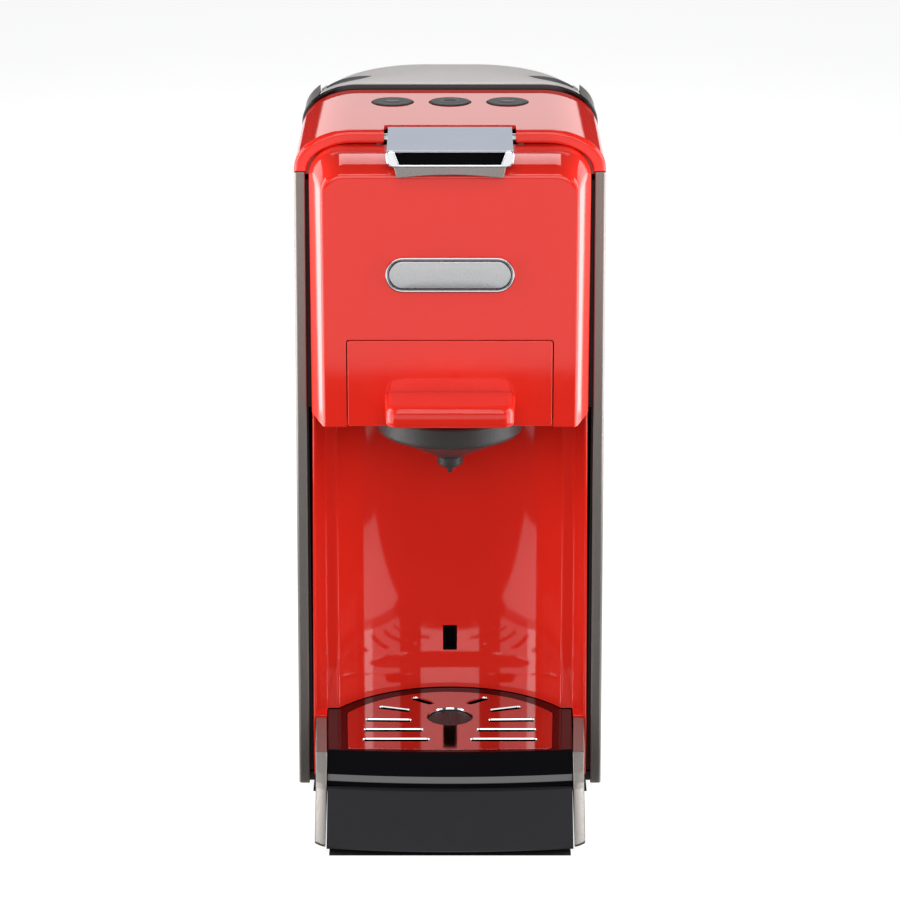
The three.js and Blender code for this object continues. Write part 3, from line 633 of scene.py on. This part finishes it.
def grid_plan(margin):
    """The grid's outline grown by a margin: an arched rear and a front that comes to a faint point."""
    side, rear, front = 43.4 + margin, -29 + margin, -91.5 - margin
    rise = rear + 53
    radius = (side * side + rise * rise) / (2 * rise)
    half = math.degrees(math.asin(side / radius))
    back = arc(0, rear - radius, radius, radius, 90 - half, 90 + half, 48)
    points = [(1.5 - side, front), (0, front - 1), (side - 1.5, front)] + back
    radii = [1.6, 0, 1.6, 1.6] + [0] * (len(back) - 2) + [1.6]
    return rounded(points, radii, 5)


def slot_outline(a, b, radius):
    """A round-ended slot from a to b."""
    direction = math.degrees(math.atan2(b[1] - a[1], b[0] - a[0]))
    return (arc(a[0], a[1], radius, radius, direction + 90, direction + 270, 10)
            + arc(b[0], b[1], radius, radius, direction - 90, direction + 90, 10))


# The grid's slots on the right: from, to, half width.
SLOTS = [
    ((9.9, -82), (34.7, -82), 1.4),
    ((12.6, -71.6), (34.6, -71.6), 1.4),
    ((17.5, -61.2), (34.3, -60.8), 1.4),
    ((18.3, -50), (28.8, -46.8), 1.4),
    ((8.6, -41.4), (14.6, -36.8), 1.6),
]


def deck():
    """Flat round the grid, then down a steep slope to a nose over the tray's front."""
    nose = rounded([(-18, DECK_TOP), (CREASE_Y - 0.3, DECK_TOP), (-104.7, 26.1), (-106.55, 23.9),
                    (-106.75, 21.9), (-104.6, 21.9), (CREASE_Y, 29), (-18, 29)],
                   [0, 1.6, 1.2, 0.5, 0.3, 0.3, 1.5, 0], 8)
    profile = [(-18, DECK_TOP, 0, 1.5)]
    for y in (-40, -57, -65, -72, -80, -88, -93):
        profile.append((y, DECK_TOP, share(y, -72, -94), 1.5 * share(y, -94, -57)))
    profile += [(y, z, 1, 0) for y, z in nose[1:-1]] + [(-18, 29, 0, 1.5)]
    opening = prism("z", grid_plan(0.35), 31.1, 36)
    under = prism("z", grid_plan(-2.5), 27, 33)
    piece("deck_plate", bowed(profile, 50.1), GLOSS_BLACK, "chassis", ["tray_deck"], [opening, under],
          edge=0.25)


def grid():
    """The polished plate, with chamfered slots and a drain over a gauze."""
    cuts = []
    for a, b, radius in SLOTS:
        for side in (1, -1):
            rings = []
            for z, swell in ((28, 0), (32.55, 0), (33.6, 0.86)):
                outline = slot_outline((side * a[0], a[1]), (side * b[0], b[1]), radius + swell)
                rings.append([(x, y, z) for x, y in outline])
            cuts.append(lofted(rings))
    cuts.append(turned([(0, 28), (9.4, 28), (9.4, 32.5), (10.3, 33.6), (0, 33.6)], 0, DRAIN_Y))
    piece("grid_plate", prism("z", grid_plan(0), 31.3, 33.0), MIRROR, "grid", ["cup_grid"], cuts,
          edge=0.2)
    gauze = rounded([(0, 31.4), (9.1, 31.4), (9.1, 31.9), (4, 32.5), (0, 32.7)], [0, 0.1, 0.1, 1, 0], 3)
    piece("drain_gauze", turned(gauze, 0, DRAIN_Y, 48), GAUZE, "grid")


def tray():
    """The drip tray's box and its front, which leans back under the deck's nose."""
    outer = rounded(rectangle(-49.4, -104.3, 49.4, -28), [1, 1, 9, 9], 6)
    inner = rounded(rectangle(-47.6, -102.5, 47.6, -29.8), [2, 2, 7.4, 7.4], 6)
    room = prism("z", inner, 9.8, 30)
    piece("tray_box", prism("z", outer, 8, 21.5), SATIN_BLACK, "tray", ["drip_tray"], [room], edge=0.4)
    face = rounded([(-127.6, 2.2), (-109.5, 21.8), (-104.6, 21.8), (-104.6, 2.2)], [0.9, 0.8, 0.2, 0.3], 5)
    profile = [(y, z, share(y, -104.6, -107.6), 0) for y, z in face]
    pocket = prism("x", [(-117.5, 6), (-104, 19.6), (-104, 6)], -47.6, 47.6)
    piece("tray_face", bowed(profile, 50.0), SATIN_BLACK, "tray", ["tray_front"], [pocket], edge=0.35)


def build_tray():
    deck()
    grid()
    tray()


# ---------------------------------------------------------------- brewing head
def head_rings(foot, inset=0.0, rear=-52.0):
    """Arches from the head's rear to its front, where the top falls in a quarter ellipse to the face."""
    falls = (0, 4, 8, 10.6, 13, 17, 22, 28, 34, 40, 46, 52, 57, 62, 67, 71, 75, 79, 82, 85, 88, 90)
    stops = [(rear, 0.0), (-55, 0.0)]
    stops += [(-58 - (25 - inset) * math.sin(math.radians(a)), math.radians(a)) for a in falls]
    rings = []
    for y, turn in stops:
        # the sides draw in from a soft crease, and round over at the front
        drawn = 0.276 * 0.8 * math.log(1 + math.exp(min(-(y + 62.6) / 0.8, 60)))
        drawn += 1.1 * (1 - math.sqrt(1 - share(y, -81.7, -83) ** 2))
        k = math.sin(turn) ** 2
        section = arch(56.4 - drawn - inset, 270.6 + (8.3 - inset) * math.cos(turn),
                       14.6 - 5.6 * k - inset, 11.8 - 3.8 * k - inset, foot, 14, 8, 12)
        rings.append([(x, y, z) for x, z, _, _ in section])
    return rings


def build_head():
    hollow = lofted(head_rings(160.0, 2.5, -40))
    door = prism("y", rounded(rectangle(-41.4, 150, 41.4, 205.2), [0, 0, 1.2, 1.2]), -95, -80)
    cams = prism("z", rounded(rectangle(-23.5, -72, 23.5, -40), 1), 266, 290)
    brackets = prism("z", rectangle(-30, -58, 30, -40), 260, 290)
    piece("head_cover", lofted(head_rings(169.0)), RED, "chassis", ["head_shell"],
          [hollow, door, cams, brackets], edge=0.3)

    flange = sweep(arch(59.4, 281.8, 21, 13.2, 266), [(0, -54), (0, -52), (-7, -52), (-7, -54)])
    gap = prism("z", rectangle(-30, -60, 30, -45), 260, 290)
    piece("head_flange", flange, RED, "chassis", cuts=[gap], edge=0.2)

    floor = [(-53.4, -60), (-50.2, -60), (-46.8, -80.3), (-30.6, -80.3)]
    floor += arc(0, GROUP_Y, 30.6, 30.6, 180, 0, 36)
    floor += [(30.6, -80.3), (46.8, -80.3), (50.2, -60), (53.4, -60), (53.4, -18), (-53.4, -18)]
    piece("head_floor", prism("z", floor, 169, 171.5), RED, "chassis", edge=0.25)

    build_badge()


def stadium_rings(steps):
    """Rings of a round-ended oval about the badge's centre, each from (half length, end radius, y)."""
    rings = []
    for half, radius, y in steps:
        outline = arc(half - radius, 232, radius, radius, -90, 90, 24)
        outline += arc(radius - half, 232, radius, radius, 90, 270, 24)
        rings.append([(x, y, z) for x, z in outline])
    return lofted(rings)


def build_badge():
    rim = stadium_rings([(25.7, 7.1, -83.05), (25.7, 7.1, -84.0), (25.5, 6.9, -84.4), (25.2, 6.6, -84.5),
                         (24.9, 6.3, -84.4), (24.75, 6.15, -84.1), (24.7, 6.1, -83.8)])
    piece("badge_rim", rim, CHROME, "chassis", ["badge_plate"])
    groove = stadium_rings([(24.6, 6.0, -83.85), (24.6, 6.0, -84.02), (24.0, 5.4, -84.02)])
    piece("badge_groove", groove, GLOSS_BLACK, "chassis")
    field = stadium_rings([(24.0, 5.4, -83.9), (24.0, 5.4, -84.2), (23.8, 5.2, -84.3), (12, 2.0, -84.34)])
    piece("badge_field", field, BADGE, "chassis")


# ---------------------------------------------------------------- lever
def lever_blade():
    """The lever's plate, from its hinge forward to a thin front edge."""
    def top(y):
        return 285 - (y + 53) / -35 * 2.2

    outline = rounded([(-50.2, 284.2), (-53, top(-53)), (-87.7, top(-87.7)), (-88, 282.2), (-85.3, 282.0),
                       (-84.4, 279.6), (-56, 280), (-50.2, 278)],
                      [1.5, 0.5, 0.35, 0.12, 0.3, 0.5, 1, 1], 5)
    knuckle = lay_along_x(cylinder(4.6, -24.7, 24.7, steps=48), LEVER_PIN)
    bore = lay_along_x(cylinder(2.3, -30, 30, steps=32), LEVER_PIN)
    rooms = [prism("z", rectangle(s * 16.6, -60.6, s * 21.4, -47), 270, 283.8) for s in (-1, 1)]
    piece("lever_blade", prism("x", outline, -24.7, 24.7), CHROME, "lever", ["lever_handle"], [bore] + rooms,
          joins=[knuckle], edge=0.35)


def lever_front():
    """A bar with a finger groove, over a narrower tab with an arched edge. The groove's dark is painted
    shade from a near-black inlay.
    """
    bar = rounded([(-25.1, 282.8), (25.1, 282.8), (24.8, 276.3), (-24.8, 276.3)], [1.6, 1.6, 3.0, 3.0], 8)
    groove = [(-21.6, 283.6), (21.6, 283.6), (21.6, 282.2), (19.8, 277.5), (-19.8, 277.5), (-21.6, 282.2)]
    piece("lever_bar", prism("y", bar, -88.4, -84.2), CHROME, "lever", cuts=[prism("y", groove, -92, -85.6)],
          edge=0.7, segments=5)
    # The near-black inlay at the groove's back is painted shade: the dark of a deep finger recess.
    groove_shade = prism("y", rounded(rectangle(-22.6, 277.0, 22.6, 282.1), 0.9, 5), -85.9, -85.4)
    piece("lever_groove_shade", groove_shade, PAINTED_SHADE_BLACK, "lever", edge=0.1)
    arched = [(20.8 * (1 - i / 8), 273.3 - 1.4 * (1 - i / 8) ** 2) for i in range(17)]
    tab = rounded([(-21.9, 276.7), (21.9, 276.7)] + arched, [0.2, 0.2, 0.6] + [0] * 15 + [0.6], 4)
    piece("lever_tab", prism("y", tab, -88.0, -84.4), TAB_STEEL, "lever", edge=0.3)


def build_lever():
    lever_blade()
    lever_front()
    dress("lever_core", BASE_BLACK, 0.2)
    dress("lever_pin", STEEL, 0.2)
    for name in ("left", "right"):
        dress(f"lever_bracket_{name}", STEEL, 0.3)


# ---------------------------------------------------------------- brewing group and drawer
def build_group():
    dress("piston_head", ALUMINIUM, 0.25)
    dress("piston_yoke", STEEL, 0.25)
    dress("piston_roller", STEEL, 0.1)
    dress("piston_spring", STEEL)
    dress("brew_cylinder", ALUMINIUM, 0.4)


def drawer_tab():
    """The finger tab, as rings from its underside round the front to the crowned top."""
    plan = rounded([(-26.3, -83.3), (26.3, -83.3), (25.3, -105), (-25.3, -105)], [0.3, 0.3, 5.2, 5.2], 12)
    rings = []
    for inset, z in [(3.0, 174.8), (1.0, 174.9), (0.4, 175.3), (0.1, 175.9), (0.0, 177.0), (0.0, 179.0),
                     (0.05, 180.6), (0.3, 181.7), (0.7, 182.5), (1.3, 183.1), (2.2, 183.5), (3.4, 183.65)]:
        narrow = (26.3 - inset) / 26.3
        rings.append([(x * narrow, y + inset * share(y, -86, -105), z) for x, y in plan])
    piece("drawer_tab", lofted(rings), RED, "drawer", ["pull_tab"], edge=0.2, angle=50)


def ring_about_group(outline, steps):
    """A hollow turned shape about the pod holder's axis."""
    return turned(outline + [outline[0]], 0, GROUP_Y, steps)


def pod_holder():
    skirt = rounded([(2.4, 149.2), (6.4, 149.2), (7.0, 149.9), (24, 158.3), (28.4, 159.9), (29.7, 161.3),
                     (29.7, 167.8), (29.2, 168.6), (22.4, 168.6), (22.4, 166), (2.4, 163)],
                    [0.2, 0.3, 0.5, 8, 1.6, 1.6, 0.4, 0.3, 0.2, 0.2, 0.2], 4)
    piece("holder_skirt", ring_about_group(skirt, 96), HOLDER, "drawer", ["pod_holder"])
    behind_door = prism("z", rectangle(-40, -80.2, 40, 0), 100, 300)
    cup = rounded(rectangle(22.45, 168.4, 26.8, 184.3), 0.3, 3)
    piece("holder_cup", ring_about_group(cup, 96), HOLDER, "drawer", keeps=[behind_door], edge=0.15)
    basket = rounded([(1, 167.3), (1, 166.5), (22, 166.5), (22, 184.7), (24.4, 184.7), (24.4, 185.3),
                      (21.4, 185.3), (21.4, 167.3)],
                     [0.1, 0.1, 1.2, 0.5, 0.2, 0.2, 0.6, 1.0], 3)
    piece("basket_shell", ring_about_group(basket, 72), STEEL, "drawer", ["pod_basket"], keeps=[behind_door])
    spout = rounded([(0, 148.9), (5.3, 148.9), (5.3, 145.6), (4.2, 144.7), (2.0, 144.4), (1.4, 143.2),
                     (0.8, 141.5), (0, 141.5)],
                    [0, 0.4, 0.9, 0.3, 0.4, 0.3, 0.3, 0], 4)
    piece("spout_nozzle", turned(spout, 0, GROUP_Y, 48), HOLDER, "drawer", ["spout"])


def build_drawer():
    door = rounded(rectangle(-40.95, 169.25, 40.95, 204.75), [0.6, 0.6, 0.9, 0.9], 4)
    piece("drawer_door", prism("y", door, -83, -80.6), RED, "drawer", ["drawer_front"], edge=0.35)
    drawer_tab()
    dress("drawer_carriage", BASE_BLACK, 0.3)
    for name in ("left", "right"):
        dress(f"drawer_rail_{name}", BASE_BLACK, 0.2)
    pod_holder()


# ---------------------------------------------------------------- tank and lid
def lid_top(x, y):
    """Height of the lid: the cap's arch at its front, a rounder dome over the tank."""
    t = share(y, LID_FRONT, 61)
    k = t * t * (3 - 2 * t)
    rx, rz = 24 + 28 * k, 16 + 3 * k
    side = share(abs(x), 62.8 - rx, 62.8)
    return 287 - (y - LID_FRONT) ** 2 / 900 - rz * (1 - math.sqrt(1 - side * side))


def lid_under(x):
    """The underside of the lid's front part, an arch above the hood."""
    side = share(abs(x), 36.9, 60.5)
    return 284.3 - 15.8 * (1 - math.sqrt(1 - side * side))


def lid_pin_hole():
    return lay_along_x(cylinder(1.4, -20, 20, steps=24), LID_PIN)


def build_tank():
    wall = prism("z", d_plan(57.5, 61, 62, 120.5, 72, 3), 25, 268)
    room = prism("z", d_plan(55.4, 63.1, 64, 118.4, 72), 27.6, 280)
    valve_hole = cylinder(6.2, 20, 30, 0, TANK_VALVE_Y, 40)
    piece("tank_wall", wall, SMOKE, "tank", ["water_tank"], [room, valve_hole], edge=0.7)
    ear = [(116.8, 262.6)] + arc(*LID_PIN, 3, 3, -75, 120, 16) + [(116.8, 267.0)]
    for side, name in SIDES:
        piece(f"tank_ear_{name}", prism("x", ear, side * 10.6, side * 15.0), SMOKE, "tank",
              cuts=[lid_pin_hole()], edge=0.3)
    dress("tank_valve", BASE_BLACK, 0.3)
    dress("lid_pin", STEEL, 0.15)
    build_lid()


def lid_plan():
    """The lid's outline with points every few millimetres."""
    plan = d_plan(55.5, LID_FRONT, 62, 121.4, 72, 2.0)
    dense = []
    for i, (x, y) in enumerate(plan):
        nx, ny = plan[(i + 1) % len(plan)]
        count = max(1, int(math.hypot(nx - x, ny - y) / 2.5))
        dense += [(x + (nx - x) * k / count, y + (ny - y) * k / count) for k in range(count)]
    return dense


def build_lid():
    outline = lid_plan()
    middle_y = 66

    def ring(scale, inset, height):
        """The outline, inset and scaled about its middle; height takes (x, y, y at the edge)."""
        points = []
        for x, y in outline:
            dy = y - middle_y
            k = scale * (1 - inset / math.hypot(x, dy))
            px, py = x * k, middle_y + dy * k
            points.append((px, py, height(px, py, y)))
        return points

    def foot(x, _, edge_y):
        return lid_under(x) if edge_y < 61.4 else 268.7

    def ceiling(x, y, _):
        return min(lid_top(x, y) - 2.4, lid_under(x) if y < 61.4 else 300)

    def crown(x, y, _):
        return lid_top(x, y)

    loops = [ring(scale, 2.3, ceiling) for scale in (0.01, 0.2, 0.4, 0.6, 0.8, 0.92, 1)]
    loops += [ring(1, 2.3, foot), ring(1, 0.3, foot)]
    loops.append(ring(1, 0, lambda x, y, e: foot(x, y, e) + 0.3))
    edge = ((2.0, 0.0), (1.4, 0.1), (0.9, 0.35), (0.5, 0.75), (0.22, 1.3), (0.06, 2.0), (0.0, 3.0))
    for drop, inset in edge:
        loops.append(ring(1, inset, lambda x, y, _: lid_top(x, y) - drop))
    loops += [ring(1 - i / 16, 3, crown) for i in range(1, 16)]
    loops.append(ring(0.01, 3, crown))
    piece("lid_dome", lofted(loops), LID_GREY, "lid", ["tank_lid"], angle=50)

    lug = [(119.6, 268.8), (119.6, 271.4), (125.0, 271.4), (126.4, 269.6)]
    lug += arc(*LID_PIN, 3, 3, 15, -195, 20) + [(121.6, 268.8)]
    piece("lid_lug", prism("x", lug, -10.2, 10.2), LID_GREY, "lid", cuts=[lid_pin_hole()], edge=0.3)


# ---------------------------------------------------------------- controls and water path
def key_mark(i):
    """A ring on the middle key, a plain bowl shape on the others."""
    x = i * KEY_PITCH
    if i == 0:
        ring = [(3.1, 285.0), (3.9, 285.0), (3.9, 285.42), (3.1, 285.42), (3.1, 285.0)]
        return turned(ring, x, KEY_Y, 48)
    bowl = [(x - 3.0, -0.2), (x - 2.3, -3.4), (x + 2.3, -3.4), (x + 3.0, -0.2)]
    return prism("z", rounded(bowl, [0.2, 1.4, 1.4, 0.2], 5), 285.0, 285.42)


def build_controls():
    profile = rounded([(0, 279.6), (7.2, 279.6), (8.4, 280.8), (8.4, 285.2), (7.4, 285.35), (0, 285.0)],
                      [0, 0.3, 0.3, 0.35, 0.6, 0], 4)
    for i, name in ((-1, "left"), (0, "centre"), (1, "right")):
        key = turned(profile, i * KEY_PITCH, KEY_Y, 56)
        piece(f"key_{name}", key, KEY, f"{name}_button", [f"button_{name}"])
        piece(f"key_mark_{name}", key_mark(i), KEY_MARK, f"{name}_button")
    dress("control_board", BOARD, 0.2)


def build_water_path():
    dress("water_pump", PUMP, 0.5)
    dress("boiler", ALUMINIUM, 0.6)
    for name in ("suction_hose", "pressure_hose", "brew_hose"):
        dress(name, SILICONE)


# ---------------------------------------------------------------- studio
def panel(name, location, target, width, height, radiance, colour=(1, 1, 1)):
    """A rectangular softbox that faces its target; radiance is how bright it looks."""
    data = bpy.data.lights.new(name, "AREA")
    data.shape = "RECTANGLE"
    data.size = width * MM
    data.size_y = height * MM
    data.energy = radiance * math.pi * data.size * data.size_y
    data.color = colour
    obj = bpy.data.objects.new(name, data)
    place = Vector(location) * MM
    obj.location = place
    obj.rotation_euler = (Vector(target) * MM - place).to_track_quat("-Z", "Y").to_euler()
    scene.collection.objects.link(obj)


def sheet_of(name, x0, x1, y0, y1, z):
    """A flat sheet that faces up."""
    steps = 12
    shell = Shell()
    loops = [[(x0 + (x1 - x0) * i / steps, y0 + (y1 - y0) * j / steps, z) for i in range(steps + 1)]
             for j in range(steps + 1)]
    shell.rings(loops, closed=False, caps=False)
    obj = blob(shell, name)
    if obj.data.polygons[0].normal.z < 0:
        obj.data.flip_normals()
    return obj


def pale_floor():
    """A white light table, faintly lit from within."""
    n = Nodes("pale_floor")
    colour = n.mix(n.noise(3, 2), (0.40, 0.402, 0.405), (0.38, 0.382, 0.385))
    n.set(Base_Color=colour, Specular_IOR_Level=0.2)
    n.set(Roughness=n.spread(n.noise(60, 4), 0.42, 0.55, 0.3, 0.7))
    n.set(Normal=n.bump(n.noise(500, 3), 0.03, 0.0001))
    n.set(Emission_Color=(1, 1, 1, 1), Emission_Strength=0.86)
    sheet_of("floor", -6000, 6000, -6000, 6000, -0.05).data.materials.append(n.material)


def dark_cards_and_painted_shadow():
    """Dark mats round the machine and flags behind it: they give the gloss something dark to show. The two
    sheets under the machine are seen by the camera: a painted contact shadow on the floor.
    """
    n = Nodes("dark_card_and_painted_shadow")
    colour = n.mix(n.noise(40, 3), (0.035, 0.035, 0.037), (0.025, 0.025, 0.027))
    n.set(Base_Color=colour, Specular_IOR_Level=0.1)
    n.set(Roughness=n.spread(n.noise(200, 3), 0.8, 0.95, 0.3, 0.7))
    # Painted contact shadow: dark sheets lying on the floor under the tray and the body.
    for sheet in (sheet_of("shade_under_tray", -49, 49, -124.6, -60, 0.2),
                  sheet_of("shade_under_body", -58, 58, -60, 60, 0.2)):
        sheet.data.materials.append(n.material)

    cards = [sheet_of("front_mat", -420, 420, -745, -176, 0.5)]
    for side, name in SIDES:
        low, high = sorted((side * 275, side * 800))
        cards.append(sheet_of(f"mat_{name}", low, high, -176, 60, 0.5))
        low, high = sorted((side * 50, side * 120))
        cards.append(sheet_of(f"step_{name}", low, high, -176, -62, 0.5))
        low, high = sorted((side * 250, side * 640))
        cards.append(blob(prism("y", rectangle(low, 90, high, 405), 1500, 1506), f"flag_{name}"))
    for card in cards:
        card.data.materials.append(n.material)
        card.visible_camera = False
        card.visible_shadow = False


def build_studio():
    pale_floor()
    dark_cards_and_painted_shadow()
    world = bpy.data.worlds.new("studio")
    scene.world = world
    world.use_nodes = True
    background = world.node_tree.nodes["Background"]
    background.inputs["Color"].default_value = (0.94, 0.97, 1.03, 1)
    background.inputs["Strength"].default_value = 0.07
    panel("back_low", (0, 1500, 555), (0, 0, 555), 770, 290, 1.2, (1, 0.985, 0.96))
    panel("back_high", (0, 1510, 950), (0, 0, 700), 1200, 480, 0.54, (0.92, 0.98, 1.10))
    panel("front_high", (0, -960, 1290), (0, -105, 25), 800, 330, 3.6)
    panel("rear_key", (0, 941, 1277), (0, 800, 0), 680, 918, 2.8)
    panel("front_fill", (0, -1750, 900), (0, 0, 150), 1600, 800, 2.7)
    for side, name in SIDES:
        panel(f"side_{name}", (side * 264, -75, 245), (0, -75, 245), 150, 350, 5.0)
        panel(f"front_{name}", (side * 250, -222, 245), (0, -100, 235), 145, 350, 1.5)
        panel(f"rear_{name}", (side * 370, 340, 225), (0, 60, 225), 380, 440, 1.5)


def build_camera():
    data = bpy.data.cameras.new("camera")
    data.lens = 128
    data.sensor_width = 36
    data.clip_start = 0.05
    data.clip_end = 30
    obj = bpy.data.objects.new("camera", data)
    looks_down = 17.6
    obj.location = (0, -1309.8 * MM, 548.4 * MM)
    obj.rotation_euler = (math.radians(90 - looks_down), 0, 0)
    scene.collection.objects.link(obj)
    scene.camera = obj


build_base()
build_casing()
build_bay()
build_tray()
build_head()
build_lever()
build_group()
build_drawer()
build_tank()
build_controls()
build_water_path()
build_studio()
build_camera()
scene.view_settings.view_transform = "Standard"
